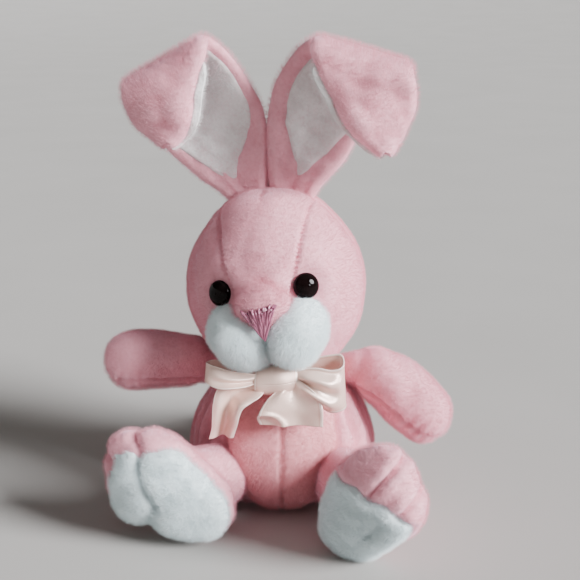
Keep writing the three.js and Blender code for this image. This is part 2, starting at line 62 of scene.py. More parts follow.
# ------------------------------------------------------------------ dimensions, mm
HEAD_RADII = np.array([41.0, 41.5, 43.5])
HEAD_TURN, HEAD_ROLL = -9.0, -4.5
FACE_ROLL, FACE_SHIFT = 2.9, np.array([0.9, 0.0, -1.85])
BODY_DEPTH = 0.94
BODY_PROFILE = [(23, 0), (27, 0.1), (35, 3.3), (41, 10), (43.5, 19), (42.5, 29),
                (38.5, 40), (32, 50), (26.5, 56), (23.6, 59), (22.6, 61)]
BELLY = [(0, -2), (9, 1), (14, 5), (19, 12), (23.5, 22), (26, 32), (25.5, 45), (20, 66)]
EYE_AT = (19.0, 9.5)
EYE_RADIUS, EYE_HEIGHT = 5.8, 3.4
CHEEK_AT, CHEEK_RADII = (12.4, -33.5, -9.6), (13.9, 15.6, 15.9)
BRIDGE_AT, BRIDGE_RADII = (0.0, -36.3, 3.0), (14.0, 13.2, 11.6)

# An ear from root to folded-over tip: inner edge x z, outer edge x z, then y.
EAR_ROWS = {
    "r": [(1.4, 40, 17, 36.5, 4), (0.7, 48, 24, 44, 4), (0.1, 56, 32, 50, 4), (-0.2, 64, 40, 57.5, 5),
          (-0.2, 73, 47, 65, 5), (0.9, 82, 53, 73, 5), (4.4, 90, 57.5, 81, 4.5), (9.1, 99, 61, 88, 4),
          (14.5, 106.5, 62.5, 92, 3), (20.5, 113, 62, 94.6, -1), (20.5, 111, 61, 94, -6),
          (21, 106, 60.5, 92.3, -9), (23.5, 99.5, 60.5, 89.5, -10.5), (26, 92, 60, 86.5, -11),
          (27.8, 85, 58.5, 82.5, -11.5), (29.5, 78.6, 55.5, 77.8, -11.5),
          (32.5, 74, 50, 73.6, -11.5), (35.5, 71, 46.5, 70.7, -11.5),
          (37.5, 69.9, 44, 69.8, -11.5), (38.8, 69.5, 42.6, 69.4, -11.5)],
    "l": [(0.2, 40, 18, 36, 4), (-0.5, 48, 23, 43.5, 4), (-0.5, 56, 29.5, 50, 4), (-0.2, 64, 35.5, 56.5, 5),
          (0.6, 73, 41, 65, 5), (2.6, 82, 47, 73, 5), (5.7, 91, 54, 80.5, 4.5), (11.5, 99.5, 61, 86.5, 4),
          (18, 106, 65.5, 91, 2.5), (24.5, 109.3, 67.5, 93.8, -1.5), (24.5, 107.5, 68, 93.3, -6),
          (25, 103.5, 68.6, 91, -9), (27.3, 97.5, 69.2, 87, -10.5), (30.8, 89.5, 69, 82, -11),
          (35.3, 79.8, 67, 75.3, -11.5), (41.3, 70.5, 64, 69.4, -11.5),
          (47, 65, 61, 64.8, -11.5), (50, 62.4, 59.2, 62.4, -11.5),
          (52, 61, 57.6, 61, -11.5), (53.4, 60.5, 56.2, 60.5, -11.5)],
}
# Width in mm of the pink border round the white lining: at the root, then higher up.
EAR_BORDERS = {"r": ((9.5, 3.2), (3.2, 2.8)), "l": ((9.5, 6.3), (7.0, 3.0))}

# Half of a foot's outline seen on its sole: towards the toes, then towards the outer side.
FOOT_OUTLINE = [(33.5, 4), (34, -3), (30.5, -9), (26, -14), (20.5, -18.3), (14, -21), (6, -21.8),
                (-4, -21.4), (-14, -21), (-21, -19.5), (-27, -14.5), (-30, -7), (-29.5, 1), (-25.5, 8),
                (-19, 13.5), (-11, 17.5), (-4.5, 20), (-0.5, 23), (5, 26), (11, 26.6), (17, 24.5),
                (23, 19.5), (29, 12.5)]
FOOT_CREASES = {"r": [  # depth, width, then points on the sole
    (1.5, 1.2, [(34, 4), (27, 6.8), (21.5, 9.4)]),
    (2.1, 1.3, [(31, -10), (20.8, -9), (15.4, -2.2), (6.8, 2.1), (-0.8, 5.0)]),
    (1.3, 2.8, [(-0.8, 5.0), (-2.1, 12.6), (-4.5, 22)]),
], "l": [
    (2.3, 1.1, [(33, 5), (27, 3), (19, 1)]),
    (1.5, 1.2, [(25, 18), (21, 16.5), (16, 14.5)]),
    (1.1, 1.8, [(6, 10), (-1, 7.5), (-9, 4)]),
    (0.9, 1.8, [(-17, -17), (-14, -9), (-13, -3.4), (-15, 2)]),
]}


# ------------------------------------------------------------------ small helpers
def mid(node):
    low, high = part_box(node)
    return (np.array(low) + np.array(high)) * 500.0


def unit(v):
    v = np.asarray(v, float)
    return v / np.linalg.norm(v, axis=-1, keepdims=True)


def smooth(t):
    t = np.clip(t, 0.0, 1.0)
    return t * t * (3 - 2 * t)


def bell(d, width):
    return np.exp(-((d / width) ** 2))


def spline(points, count):
    """Catmull-Rom curve through points, sampled evenly in its parameter."""
    p = np.asarray(points, float)
    p = np.concatenate([[2 * p[0] - p[1]], p, [2 * p[-1] - p[-2]]])
    u = np.linspace(0, len(p) - 3, count)
    i = np.minimum(u.astype(int), len(p) - 4)
    t = (u - i).reshape((-1,) + (1,) * (p.ndim - 1))
    a, b, c, d = p[i], p[i + 1], p[i + 2], p[i + 3]
    return 0.5 * (2 * b + (c - a) * t + (2 * a - 5 * b + 4 * c - d) * t * t
                  + (3 * b - a - 3 * c + d) * t ** 3)


def lumps(p, size, seed, waves=9):
    """Smooth seeded noise from about -1 to 1, with lumps of that size in mm."""
    rng = np.random.default_rng(seed)
    way = unit(rng.normal(size=(waves, 3))) * rng.uniform(0.6, 1.5, (waves, 1)) * 2 * np.pi / size
    return np.sin(p @ way.T + rng.uniform(0, 6.28, waves)).sum(-1) / waves ** 0.5 / 1.4


def grid_faces(rows, cols, wrap=False):
    i = np.arange(rows - 1)[:, None]
    j = np.arange(cols if wrap else cols - 1)[None, :]
    k = (j + 1) % cols
    quads = np.stack([i * cols + j, i * cols + k, (i + 1) * cols + k, (i + 1) * cols + j], -1)
    return quads.reshape(-1, 4)


def quilt(name, p, n, up, down, look):
    """A closed solid round the surface p: up mm thick along n and down mm thick against it."""
    rows, cols = p.shape[:2]
    top, bottom = p + n * up[..., None], p - n * down[..., None]
    points = np.concatenate([top.reshape(-1, 3), bottom.reshape(-1, 3)])
    sheet = grid_faces(rows, cols)
    faces = sheet.tolist() + (sheet[:, ::-1] + rows * cols).tolist()
    rim = [i * cols for i in range(rows)][::-1] + list(range(1, cols))
    rim += [i * cols + cols - 1 for i in range(1, rows)]
    rim += [(rows - 1) * cols + j for j in range(cols - 2, 0, -1)]
    for i, j in zip(rim, rim[1:] + rim[:1]):
        faces.append([i, j, j + rows * cols, i + rows * cols])
    made = add_mesh(name, points, faces, look)
    work = bmesh.new()
    work.from_mesh(made.data)
    bmesh.ops.recalc_face_normals(work, faces=work.faces[:])
    work.to_mesh(made.data)
    work.free()
    return made


def near_line(p, line):
    """Distance of 2-D points p from a line of points."""
    best = np.full(len(p), 1e9)
    for a, b in zip(line[:-1], line[1:]):
        a, b = np.array(a, float), np.array(b, float)
        t = np.clip((p - a) @ (b - a) / ((b - a) @ (b - a)), 0, 1)
        best = np.minimum(best, np.linalg.norm(p - a - t[:, None] * (b - a), axis=1))
    return best


def add_mesh(name, points, faces, looks):
    mesh = bpy.data.meshes.new(name)
    points = np.asarray(points, float).reshape(-1, 3) * MM
    mesh.from_pydata(points.tolist(), [], [list(map(int, f)) for f in faces])
    mesh.polygons.foreach_set("use_smooth", [True] * len(mesh.polygons))
    mesh.update()
    made = bpy.data.objects.new(name, mesh)
    bpy.context.scene.collection.objects.link(made)
    for look in looks if isinstance(looks, (list, tuple)) else [looks]:
        mesh.materials.append(look)
    return made


def coords(obj):
    out = np.empty(len(obj.data.vertices) * 3, np.float32)
    obj.data.vertices.foreach_get("co", out)
    return out.reshape(-1, 3).astype(float) / MM


def normals(obj):
    out = np.empty(len(obj.data.vertices) * 3, np.float32)
    obj.data.vertex_normals.foreach_get("vector", out)
    return out.reshape(-1, 3).astype(float)


def set_coords(obj, points):
    obj.data.vertices.foreach_set("co", (points * MM).astype(np.float32).ravel())
    obj.data.update()


def outward(obj, centre):
    """Turns the faces the way that points away from centre."""
    p, n = coords(obj), normals(obj)
    if ((p - centre) * n).sum() < 0:
        obj.data.flip_normals()
    return obj


def head_matrix():
    turn = Matrix.Rotation(math.radians(HEAD_TURN), 3, "Z")
    return np.array(turn @ Matrix.Rotation(math.radians(HEAD_ROLL), 3, "Y"))


HEAD_R = head_matrix()
HEAD_AT = mid("head_fill")


def from_head(p):
    return np.asarray(p, float) @ HEAD_R.T + HEAD_AT


def to_face(p):
    """From the face's own upright frame to the head's."""
    a = math.radians(FACE_ROLL)
    turn = np.array([[math.cos(a), 0, -math.sin(a)], [0, 1, 0], [math.sin(a), 0, math.cos(a)]])
    return np.asarray(p, float) @ turn.T + FACE_SHIFT


def from_face(p):
    return from_head(to_face(p))


def on_head(x, z, grow=0.0):
    a, b, c = HEAD_RADII + grow
    return np.array([x, -b * math.sqrt(1 - (x / a) ** 2 - (z / c) ** 2), z])


# ------------------------------------------------------------------ materials
def new_look(name):
    look = bpy.data.materials.new(name)
    look.use_nodes = True
    tree = look.node_tree
    return look, tree, tree.nodes["Principled BSDF"]


def noise(tree, scale, detail=2.0):
    where = tree.nodes.new("ShaderNodeTexCoord")
    made = tree.nodes.new("ShaderNodeTexNoise")
    made.inputs["Scale"].default_value = scale
    made.inputs["Detail"].default_value = detail
    tree.links.new(where.outputs["Object"], made.inputs["Vector"])
    return made.outputs["Fac"]


def ramp(tree, value, stops):
    made = tree.nodes.new("ShaderNodeValToRGB")
    while len(made.color_ramp.elements) < len(stops):
        made.color_ramp.elements.new(0.5)
    for element, (at, colour) in zip(made.color_ramp.elements, stops):
        element.position = at
        element.color = (*colour, 1)
    tree.links.new(value, made.inputs["Fac"])
    return made.outputs["Color"]


def plush(name, light, dark, blotch=90.0, sheen=0.8):
    """Short-pile cloth: soft blotches where the nap lies another way, a fine grain and a sheen."""
    look, tree, shader = new_look(name)
    mix = tree.nodes.new("ShaderNodeMix")
    mix.data_type = "RGBA"
    mix.inputs["Factor"].default_value = 0.5
    tree.links.new(ramp(tree, noise(tree, blotch, 4), [(0.3, dark), (0.7, light)]), mix.inputs["A"])
    tree.links.new(ramp(tree, noise(tree, 700, 2), [(0.25, dark), (0.6, light)]), mix.inputs["B"])
    tree.links.new(mix.outputs["Result"], shader.inputs["Base Color"])
    shader.inputs["Roughness"].default_value = 0.95
    shader.inputs["Specular IOR Level"].default_value = 0.15
    shader.inputs["Sheen Weight"].default_value = sheen
    shader.inputs["Sheen Roughness"].default_value = 0.45
    shader.inputs["Sheen Tint"].default_value = (0.96, 0.84, 1.0, 1)
    bump = tree.nodes.new("ShaderNodeBump")
    bump.inputs["Strength"].default_value = 0.35
    bump.inputs["Distance"].default_value = 0.0006
    tree.links.new(noise(tree, 1100, 3), bump.inputs["Height"])
    tree.links.new(bump.outputs["Normal"], shader.inputs["Normal"])
    return look


def satin(name, light, dark, edge_and_highlight_tone):
    """Satin ribbon: fine cross ribs, a bright edge that is partly a lighter woven edge and partly a painted
    highlight, and a long soft gleam.
    """
    look, tree, shader = new_look(name)
    uv = tree.nodes.new("ShaderNodeUVMap")
    part = tree.nodes.new("ShaderNodeSeparateXYZ")
    tree.links.new(uv.outputs["UV"], part.inputs["Vector"])
    # Painted highlight: a bright colour along both edges of the ribbon, partly a lighter woven edge and partly
    # the gleam the edges catch, painted in.
    edge = ramp(tree, part.outputs["Y"],
                [(0.0, edge_and_highlight_tone), (0.04, edge_and_highlight_tone), (0.055, dark), (0.075, light), (0.925, light),
                 (0.945, dark), (0.96, edge_and_highlight_tone), (1.0, edge_and_highlight_tone)])
    mix = tree.nodes.new("ShaderNodeMix")
    mix.data_type = "RGBA"
    mix.inputs["Factor"].default_value = 0.25
    tree.links.new(edge, mix.inputs["A"])
    tree.links.new(ramp(tree, noise(tree, 120, 2), [(0.3, dark), (0.7, light)]), mix.inputs["B"])
    tree.links.new(mix.outputs["Result"], shader.inputs["Base Color"])
    shader.inputs["Roughness"].default_value = 0.33
    shader.inputs["Metallic"].default_value = 0.3
    shader.inputs["Anisotropic"].default_value = 0.5
    shader.inputs["Sheen Weight"].default_value = 0.15
    shader.inputs["Specular IOR Level"].default_value = 1.0
    wave = tree.nodes.new("ShaderNodeTexWave")
    wave.inputs["Scale"].default_value = 38
    wave.inputs["Distortion"].default_value = 0.4
    tree.links.new(uv.outputs["UV"], wave.inputs["Vector"])
    bump = tree.nodes.new("ShaderNodeBump")
    bump.inputs["Strength"].default_value = 0.25
    bump.inputs["Distance"].default_value = 0.0002
    tree.links.new(wave.outputs["Fac"], bump.inputs["Height"])
    tree.links.new(bump.outputs["Normal"], shader.inputs["Normal"])
    return look


def plain(name, light, dark, roughness, coat=0.0, scale=300.0):
    look, tree, shader = new_look(name)
    tree.links.new(ramp(tree, noise(tree, scale, 3), [(0.3, dark), (0.7, light)]),
                   shader.inputs["Base Color"])
    shader.inputs["Roughness"].default_value = roughness
    shader.inputs["Coat Weight"].default_value = coat
    shader.inputs["Coat Roughness"].default_value = 0.04
    return look


PINK = plush("pink_plush", (0.88, 0.46, 0.53), (0.75, 0.33, 0.39))
# Painted shade: a darker, more saturated copy of the pink plush for the belly panels, standing for the same pink
# fabric in shade.
BELLY_SHADE_PINK = plush("salmon_plush", (0.87, 0.42, 0.45), (0.74, 0.30, 0.33))
WHITE = plush("white_plush", (0.89, 0.985, 0.995), (0.79, 0.89, 0.90), blotch=140.0, sheen=0.35)
# Painted shade: the ear lining is the same white plush as the cheeks and soles, made greyer and warmer for the
# shade the folded flap casts on it.
SHADED_LINING = plush("ear_lining_painted_shade_plush", (0.84, 0.84, 0.83), (0.70, 0.66, 0.65), blotch=60.0, sheen=0.35)
# The last colour is the bright edge, partly a lighter woven edge and partly a painted highlight.
SATIN = satin("satin_ribbon", (0.95, 0.70, 0.60), (0.80, 0.47, 0.38), (1.0, 0.86, 0.78))
THREAD = plain("mauve_thread", (0.47, 0.17, 0.26), (0.28, 0.08, 0.14), 0.24)
GLOSS = plain("eye_gloss", (0.006, 0.003, 0.003), (0.003, 0.0015, 0.0015), 0.08, coat=0.05)
GLOSS.node_tree.nodes["Principled BSDF"].inputs["Specular IOR Level"].default_value = 0.06
NYLON = plain("nylon_washer", (0.86, 0.86, 0.83), (0.78, 0.78, 0.75), 0.5)


PILES = []


def pile(*job, **more):
    """Notes down the pile of a piece; it grows once every cloth has settled."""
    PILES.append((job, more))


def grow_pile(obj, length, count, seed, nap=(0.0, 0.0, -0.2), radius=0.045):
    """Short standing fibres on a cloth piece, laid a little along the nap. Lengths in mm."""
    made = obj.modifiers.new("pile", "PARTICLE_SYSTEM").particle_system
    made.seed = seed
    fibre = made.settings
    fibre.type = "HAIR"
    fibre.use_advanced_hair = True
    fibre.count = count
    fibre.emit_from = "FACE"
    fibre.distribution = "RAND"
    fibre.hair_step = 2
    fibre.render_step = 2
    fibre.display_step = 2
    fibre.normal_factor = length * MM / 4
    fibre.object_align_factor = tuple(n * length * MM / 4 for n in nap)
    fibre.factor_random = 0.42 * length * MM / 4
    fibre.child_type = "NONE"
    fibre.radius_scale = radius * MM
    fibre.root_radius = 1.0
    fibre.tip_radius = 0.35
    fibre.material = 1


# ------------------------------------------------------------------ head
GUSSET = {1: (14.6, 0.18), -1: (13.4, 0.31)}  # half-width at z = 11 and its growth upwards


def gusset_distance(p):
    """Signed distance from the forehead gusset's nearer side seam, inside it negative."""
    out = []
    for side, (half, slope) in GUSSET.items():
        out.append((side * p[:, 0] - half - slope * (p[:, 2] - 11)) / math.hypot(1, slope))
    return np.where(p[:, 0] > 0, out[0], out[1])


def head_seams(p):
    """Distance of each point of the head from its nearest seam."""
    front = p[:, 1] < 2
    gusset = np.where(front & (p[:, 2] > 4), np.abs(gusset_distance(p)), 99)
    across = np.abs(p[:, 1] - 2)
    back = np.where(~front, np.abs(p[:, 0]), 99)
    chin = np.where(front & (p[:, 2] < -14), np.abs(p[:, 0]), 99)
    return np.minimum.reduce([gusset, across, back, chin])


def eye_spot(side, grow=0.0):
    x, _, z = to_face((side * EYE_AT[0], 0, EYE_AT[1]))
    return on_head(x, z, grow)


def build_head():
    work = bmesh.new()
    bmesh.ops.create_icosphere(work, subdivisions=7, radius=1.0)
    for v in work.verts:
        v.co = Vector(v.co[i] * HEAD_RADII[i] for i in range(3))
    cuts = [((0, 2, 0), (0, 1, 0)), ((0, 0, 0), (1, 0, 0))]
    for side, (half, slope) in GUSSET.items():
        cuts.append(((side * half, 0, 11), unit((side, 0, -slope))))
    for at, way in cuts:
        geometry = work.verts[:] + work.edges[:] + work.faces[:]
        bmesh.ops.bisect_plane(work, geom=geometry, dist=1e-3, plane_co=at, plane_no=way)
    whole = bpy.data.meshes.new("head_work")
    work.to_mesh(whole)
    work.free()
    p = np.empty(len(whole.vertices) * 3, np.float32)
    whole.vertices.foreach_get("co", p)
    p = p.reshape(-1, 3).astype(float)
    n = unit(p / HEAD_RADII ** 2)
    d = head_seams(p)
    pucker = 1 + 0.35 * np.sin((p[:, 1] + p[:, 2]) * 2.1) * bell(d, 2.5)
    lift = -0.95 * bell(d, 1.15) * pucker + 0.55 * (1 - bell(d, 7)) - 0.4
    lift += 0.35 * lumps(p, 22, 3) + 0.12 * lumps(p, 7, 4) + 2.6 * smooth((p[:, 2] - 30) / 13)
    stitched = (p[:, 0] > 0) & (p[:, 1] < 0)
    lift -= 0.5 * bell(d, 0.8) * stitched * (np.sin(p[:, 2] * 2 * np.pi / 2.3) > 0.2)
    lift -= 0.9 * bell(np.abs(p[:, 0] + 1), 0.9) * smooth((p[:, 2] - 39) / 4) * (p[:, 1] < -4)
    for side in (-1, 1):
        eye = eye_spot(side)
        away = np.linalg.norm(p - eye, axis=1)
        lift += -2.1 * bell(away, 7.5) + 0.9 * bell(away - 12.5, 4.5)
    p = p + n * lift[:, None]
    centres = np.array([f.center for f in whole.polygons])
    front = centres[:, 1] < 2
    inside = gusset_distance(centres) < 0
    right = centres[:, 0] < 0
    gusset = front & inside & (centres[:, 2] > -2)
    groups = {
        "head_gusset": gusset,
        "head_side_l": front & ~gusset & ~right, "head_side_r": front & ~gusset & right,
        "head_back_l": ~front & ~right, "head_back_r": ~front & right,
    }
    faces = [list(f.vertices) for f in whole.polygons]
    for seed, (name, chosen) in enumerate(groups.items()):
        picked = [faces[i] for i in np.nonzero(chosen)[0]]
        used = sorted({v for f in picked for v in f})
        place = {v: i for i, v in enumerate(used)}
        made = add_mesh(f"{name}_skin", from_head(p[used]),
                        [[place[v] for v in f] for f in picked], PINK)
        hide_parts(name, *(["head_fill"] if name == "head_back_l" else []))
        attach(made, "head")
        pile(made, 0.9, int(len(picked) * 2.6), 20 + seed, nap=(0, 0, -0.04))


def ball(name, at, radii, shape, look, rows=72, cols=96):
    """A closed ball whose surface is moved by shape(points, normals); poles on the Y axis."""
    a = np.linspace(0.012, math.pi - 0.012, rows)[:, None]
    b = np.linspace(0, 2 * math.pi, cols, endpoint=False)[None, :]
    way = np.stack([np.sin(a) * np.cos(b), -np.cos(a) + 0 * b, np.sin(a) * np.sin(b)], -1)
    way = way.reshape(-1, 3)
    p = way * radii + at
    n = unit(way / np.asarray(radii))
    p = shape(p, n)
    faces = grid_faces(rows, cols, wrap=True).tolist()
    faces.append(list(range(cols)))
    faces.append(list(range((rows - 1) * cols, rows * cols))[::-1])
    made = add_mesh(name, p, faces, look)
    return outward(made, np.asarray(p).mean(0))


def build_muzzle():
    for s, (_, side) in SIDES.items():
        at = np.array([side * CHEEK_AT[0], CHEEK_AT[1], CHEEK_AT[2]])

        def shape(p, n, side=side, at=at):
            high = (p[:, 2] - at[2]) / CHEEK_RADII[2]
            p = p + n * (0.5 * lumps(p, 14, 31) + 0.22 * lumps(p, 6, 32))[:, None]
            p[:, 0] += side * (1.9 * high - 0.6)
            gap = side * p[:, 0]
            p[:, 0] = side * np.where(gap < 1.6, 0.15 + 1.45 * np.exp((gap - 1.6) / 1.6), gap)
            return from_face(p)

        made = ball(f"cheek_{s}_pad", at, CHEEK_RADII, shape, WHITE)
        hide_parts(f"cheek_{s}")
        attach(made, "head")
        pile(made, 1.7, 30000, 40 + int(side), nap=(0, -0.1, -0.5), radius=0.05)

    def shape(p, n):
        p = p + n * (0.35 * lumps(p, 9, 36))[:, None]
        low = np.maximum(0, 3.5 - p[:, 2])
        p[:, 0] *= np.maximum(0.25, 1 - 0.062 * low)
        p[:, 2] -= 0.012 * (p[:, 0] ** 2) * (p[:, 2] > 0)
        return from_face(p)

    made = ball("muzzle_bridge_pad", BRIDGE_AT, BRIDGE_RADII, shape, PINK)
    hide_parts("muzzle_bridge")
    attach(made, "head")
    pile(made, 1.8, 16000, 44, nap=(0, -0.1, 0.45), radius=0.05)


def tube(path, radius, sides=8):
    """Points and faces of a tube along path, closed at its ends; radius may vary."""
    path = np.asarray(path, float)
    way = unit(np.gradient(path, axis=0))
    u = unit(np.cross(way, (0.31, 0.2, 0.93)))
    v = np.cross(way, u)
    a = np.linspace(0, 2 * np.pi, sides, endpoint=False)
    r = np.broadcast_to(radius, len(path))[:, None, None]
    ring = np.cos(a)[None, :, None] * u[:, None] + np.sin(a)[None, :, None] * v[:, None]
    points = (path[:, None] + ring * r).reshape(-1, 3)
    faces = grid_faces(len(path), sides, wrap=True).tolist()
    faces += [list(range(sides)), list(range(len(points) - sides, len(points)))[::-1]]
    return points, faces


def join_tubes(name, tubes, look):
    points, faces = [], []
    for p, f in tubes:
        base = sum(len(q) for q in points)
        points.append(p)
        faces += [[i + base for i in face] for face in f]
    return add_mesh(name, np.concatenate(points), faces, look)


def nose_depth(x, z):
    return -50.9 + 0.018 * x * x + 0.2 * np.maximum(0, 4 - z)


def build_nose():
    """Satin stitches side by side, from a ragged top edge down to one point."""
    rng = np.random.default_rng(5)
    left, right, tip = (-7.2, 4.0), (7.7, 6.6), (0.9, -9.6)
    strands = []
    count = 22
    for k in range(count):
        share = k / (count - 1)
        ragged = rng.uniform(-0.9, 1.3)
        x0 = left[0] + (right[0] - left[0]) * share + rng.normal(0, 0.12)
        z0 = left[1] + (right[1] - left[1]) * share + ragged - 0.8 * math.sin(math.pi * share)
        x1, z1 = tip[0] + 1.3 * (share - 0.5), tip[1] + 2.8 * abs(share - 0.5)
        t = np.linspace(0, 1, 18)
        x, z = x0 + (x1 - x0) * t ** 0.9, z0 + (z1 - z0) * t
        sink = 1.6 * (1 - smooth(t / 0.07)) + 1.0 * smooth((t - 0.93) / 0.07)
        y = nose_depth(x, z) + sink - 0.25 * (k % 2) - 0.15 * np.sin(t * 9 + k)
        path = from_face(np.stack([x, y, z], -1))
        strands.append(tube(path, 0.56 * (1 - 0.5 * t ** 2), 8))
    made = join_tubes("nose_stitches", strands, THREAD)
    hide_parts("nose_stitching")
    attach(made, "head")


def build_eyes():
    for s, (_, side) in SIDES.items():
        at = eye_spot(side, -1.4)
        way = unit(at / HEAD_RADII ** 2)
        profile = [(0.4, -6), (1.6, -6), (1.6, -1), (EYE_RADIUS * 0.96, -0.9), (EYE_RADIUS, -0.3)]
        for a in np.linspace(0.02, math.pi / 2 - 0.03, 16):
            profile.append((EYE_RADIUS * math.cos(a) ** 0.92, EYE_HEIGHT * math.sin(a)))
        profile = np.array(profile)
        turn = np.linspace(0, 2 * math.pi, 64, endpoint=False)
        u = unit(np.cross(way, (0, 0, 1)))
        v = np.cross(u, way)
        spoke = np.cos(turn)[:, None] * u + np.sin(turn)[:, None] * v
        p = at + profile[:, 0][:, None, None] * spoke + profile[:, 1][:, None, None] * way
        faces = grid_faces(len(profile), 64, wrap=True).tolist()
        faces += [list(range(64)), list(range((len(profile) - 1) * 64, len(profile) * 64))[::-1]]
        made = add_mesh(f"eye_{s}_dome", from_head(p.reshape(-1, 3)), faces, GLOSS)
        outward(made, from_head(at + way))
        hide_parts(f"eye_{s}")
        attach(made, "head")
        washer = frame["nodes"][f"eye_washer_{s}"]
        washer.data.materials.clear()
        washer.data.materials.append(NYLON)


# ------------------------------------------------------------------ ears
def ear_sheet(s, a, t_of):
    """The ear's middle surface in the head's frame, its back-facing normals and its width in mm."""
    side = SIDES[s][1]
    rows = spline(EAR_ROWS[s], 400)[np.round(a * 399).astype(int)]
    inner = np.stack([rows[:, 0] * side, rows[:, 4], rows[:, 1]], -1)[:, None]
    outer = np.stack([rows[:, 2] * side, rows[:, 4], rows[:, 3]], -1)[:, None]
    width = np.linalg.norm(outer - inner, axis=-1)
    t = t_of(a[:, None], width)
    p = inner + (outer - inner) * t[..., None]
    bow = 1 - (2 * np.clip(t, 0, 1) - 1) ** 2
    cup = 5.0 * (1 - smooth((a - 0.42) / 0.16)) - 3.0 * smooth((a - 0.5) / 0.2)
    p[..., 1] += cup[:, None] * bow * np.minimum(1, a * 4)[:, None]
    p[..., 1] += 0.8 * lumps(p, 24, 60 + int(side)) * np.minimum(1, a * 3)[:, None]
    flap = smooth((a - 0.6) / 0.1)[:, None]
    p[..., 1] += flap * (3.2 * smooth((t - 0.3) / 0.7) - 1.4 * bell(t - 0.18, 0.16) + 0.9 * lumps(p, 15, 64))
    n = unit(np.cross(np.gradient(p, axis=0), np.gradient(p, axis=1)))
    return p, n * side, t, width


def rounded(distance, radius):
    return np.sqrt(1 - (1 - np.clip(distance / radius, 0, 1)) ** 2 + 1e-6)


def build_ear(s):
    name, side = SIDES[s]
    a = np.linspace(0, 1, 120)
    tip_mm = (1 - a[:, None]) * 150
    p, n, t, width = ear_sheet(s, a, lambda a, w: np.tile(np.linspace(0, 1, 72), (len(a), 1)))
    edge = np.minimum(t, 1 - t) * width
    soft = rounded(edge, 4.2) * rounded(tip_mm, 4.2)
    pleat = 0.6 * bell(t - 0.45 - 0.08 * np.sin(a[:, None] * 9), 0.07) + 0.5 * bell(t - 0.75, 0.06)
    pleat = pleat * np.clip(1 - a[:, None] * 5, 0, 1)
    grain = 0.25 * lumps(p, 8, 62)
    back = (3.1 + grain - 1.2 * pleat) * soft
    front = (2.6 + grain + 1.5 * np.clip(1 - a[:, None] * 6, 0, 1) - 1.3 * pleat) * soft
    made = quilt(f"ear_back_{s}_cloth", from_head(p), n @ HEAD_R.T, back, front, PINK)
    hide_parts(f"ear_back_{s}")

    (in_low, in_high), (out_low, out_high) = EAR_BORDERS[s]

    def liner_t(a, w):
        low = 1 - smooth((a - 0.06) / 0.28)
        flap = smooth((a - 0.54) / 0.12)
        start = (in_high + (in_low - in_high) * low) * (1 - flap) - 3.2 * flap
        stop = out_high + (out_low - out_high) * low
        v = np.linspace(0, 1, 56)[None, :]
        fit = np.minimum(1, 0.8 * w / (np.abs(start) + stop))
        taper = np.sqrt(np.clip((a - 0.06) / 0.16, 0.02, 1))
        return (start * fit + (w - (start + stop) * fit) * (0.5 + (v - 0.5) * taper)) / w

    a = np.linspace(0.07, 0.985, 114)
    p, n, t, width = ear_sheet(s, a, liner_t)
    edge = np.minimum(t - t[:, :1], t[:, -1:] - t) * width
    soft = rounded(edge, 2.4) * rounded((a[:, None] - a[0]) * 150, 3) * rounded((a[-1] - a[:, None]) * 150, 3)
    over_edge = smooth((a[:, None] - 0.54) / 0.12) * (1 - smooth((t * width - 0.4) / 2.4))
    up = 3.6 * over_edge - 1.0
    down = 2.05 + 1.35 * soft + 0.25 * lumps(p, 9, 66)
    # The lining takes the painted-shade copy of the white plush.
    liner = quilt(f"ear_liner_{s}_cloth", from_head(p), n @ HEAD_R.T, up, down, SHADED_LINING)
    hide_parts(f"ear_liner_{s}")
    up = HEAD_R @ np.array([side * 0.28, 0, 0.96])
    for piece in (made, liner):
        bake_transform(piece)
    pile(made, 1.7, 46000, 70 + int(side), nap=(0, 0, 0.4))
    pile(liner, 1.4, 22000, 72 + int(side), nap=(0, 0, 0.4), radius=0.05)


# ------------------------------------------------------------------ body
def body_surface(ns, phi_of, nt):
    """Points over the body, rows up the profile; phi_of(z, r, u) gives the angle, 0 in front."""
    rows = spline(BODY_PROFILE, ns)
    r, z = rows[:, 0][:, None], rows[:, 1][:, None]
    u = np.linspace(0, 1, nt)[None, :]
    phi = phi_of(z, r, u)
    p = np.stack([r * np.sin(phi), -BODY_DEPTH * r * np.cos(phi), z + 0 * phi], -1)
    n = np.cross(np.gradient(p, axis=1), np.gradient(p, axis=0))
    out = np.stack([np.sin(phi), -np.cos(phi), 0 * phi], -1)
    n = unit(n + 1e-9 * out)
    n *= np.sign((n * out).sum(-1, keepdims=True) + 1e-12)
    return p, n, phi


def belly_angle(z, r):
    x = np.interp(z, [b[1] for b in BELLY], [b[0] for b in BELLY])
    return np.arcsin(np.clip(x / np.maximum(r, 1), 0, 0.98))


